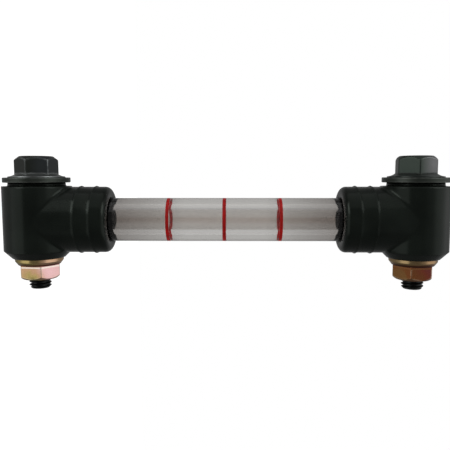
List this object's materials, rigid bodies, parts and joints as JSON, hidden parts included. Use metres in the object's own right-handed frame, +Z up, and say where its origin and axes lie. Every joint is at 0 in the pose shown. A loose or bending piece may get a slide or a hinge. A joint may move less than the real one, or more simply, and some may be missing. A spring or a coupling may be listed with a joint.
{
  "type": "hydraulic oil level gauge",
  "caption": "Wall-mounted sight gauge: a clear tube with red level rings, held between black end fittings by hollow flange bolts with flange nuts.",
  "frame": {"origin": "on the tank wall's plane, midway between the axes of the bolts", "axes": "+Z up along the tube, as the gauge hangs in service; +Y into the tank, along the bolts' threaded ends; +X to the right seen from in front"},
  "size_m": [0.0314, 0.0615, 0.206],
  "materials": {
    "clear_tube": "clear polished tube, faint grey",
    "ring_paint": "red ring paint",
    "black_moulding": "black moulding, soft sheen",
    "seal_rubber": "matte black rubber",
    "plain_steel": "turned steel",
    "blackened_washer": "blackened steel, satin",
    "blackened_steel": "blackened steel, satin",
    "yellow_zinc": "yellow-passivated zinc with rainbow tints"
  },
  "bodies": {
    "root": {"sight_tube": "clear_tube", "level_ring_low": "ring_paint", "level_ring_middle": "ring_paint", "level_ring_high": "ring_paint", "housing_lower": "black_moulding", "bush_lower": "plain_steel", "tank_seal_lower": "seal_rubber", "head_seal_lower": "seal_rubber", "washer_lower": "blackened_washer", "hollow_bolt_lower": "blackened_steel", "flange_nut_lower": "yellow_zinc", "tube_seal_lower_inner": "seal_rubber", "tube_seal_lower_outer": "seal_rubber", "housing_upper": "black_moulding", "bush_upper": "plain_steel", "tank_seal_upper": "seal_rubber", "head_seal_upper": "seal_rubber", "washer_upper": "blackened_washer", "hollow_bolt_upper": "blackened_steel", "flange_nut_upper": "yellow_zinc", "tube_seal_upper_inner": "seal_rubber", "tube_seal_upper_outer": "seal_rubber"}
  },
  "joints": []
}
